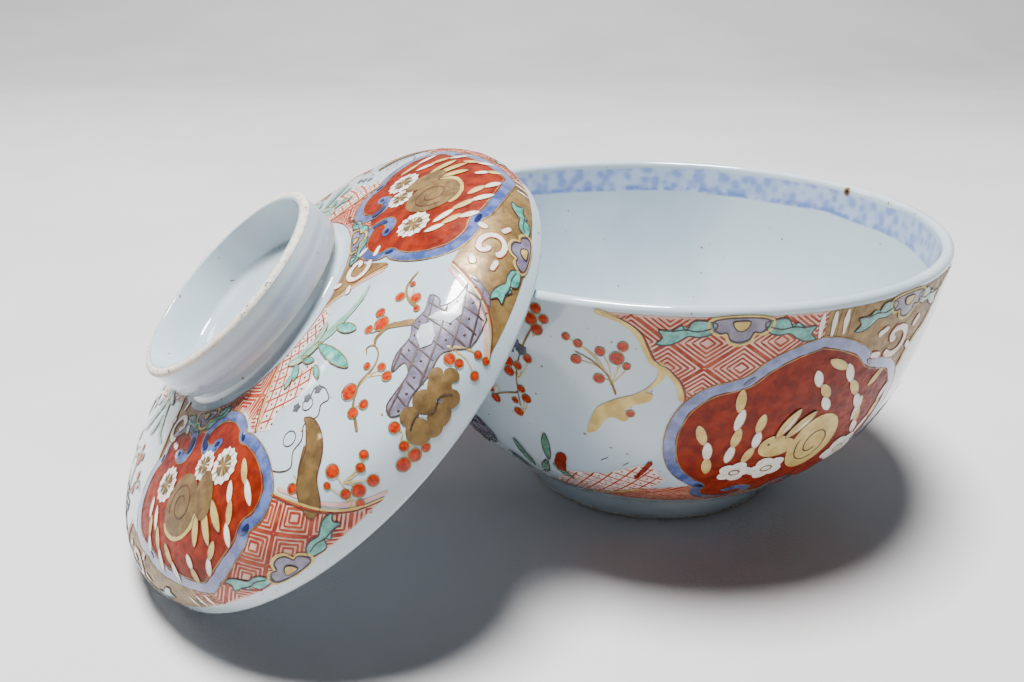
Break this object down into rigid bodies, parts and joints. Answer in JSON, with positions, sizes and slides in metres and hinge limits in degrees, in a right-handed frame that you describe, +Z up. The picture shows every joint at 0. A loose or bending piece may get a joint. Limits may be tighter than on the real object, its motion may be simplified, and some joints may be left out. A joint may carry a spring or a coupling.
{
  "type": "rice bowl",
  "caption": "Round footed porcelain rice bowl with painted panels and a domed, ring-knobbed lid that leans on its lip and lifts away.",
  "frame": {"origin": "centre of the bowl's foot ring, on the table", "axes": "+Z up along the bowl's axis; the lid leans on the bowl's lip from the -X side"},
  "size_m": [0.1757, 0.118, 0.076],
  "materials": {
    "bowl_porcelain": "bluish white clear glaze over porcelain",
    "lid_porcelain": "bluish white clear glaze over porcelain",
    "bare_foot": "unglazed cream porcelain with small dark specks",
    "underglaze_blue": "cobalt painted under the glaze, pooled darker in places",
    "iron_red": "brushed iron red overglaze enamel",
    "gold": "rubbed gilding, matt to satin",
    "turquoise": "thick glassy overglaze enamel",
    "lavender": "thick glassy overglaze enamel",
    "pink_wash": "thin iron red wash",
    "dark_line": "fine dark brown to black outlines",
    "white_enamel": "raised white enamel"
  },
  "bodies": {
    "bowl": {"bowl": "bowl_porcelain"},
    "lid": {"lid": "lid_porcelain"}
  },
  "joints": [
    {"name": "lid_lift", "type": "slide", "parent": "bowl", "child": "lid", "axis": [0, 0, 1], "range_m": [0, 0.08]}
  ]
}
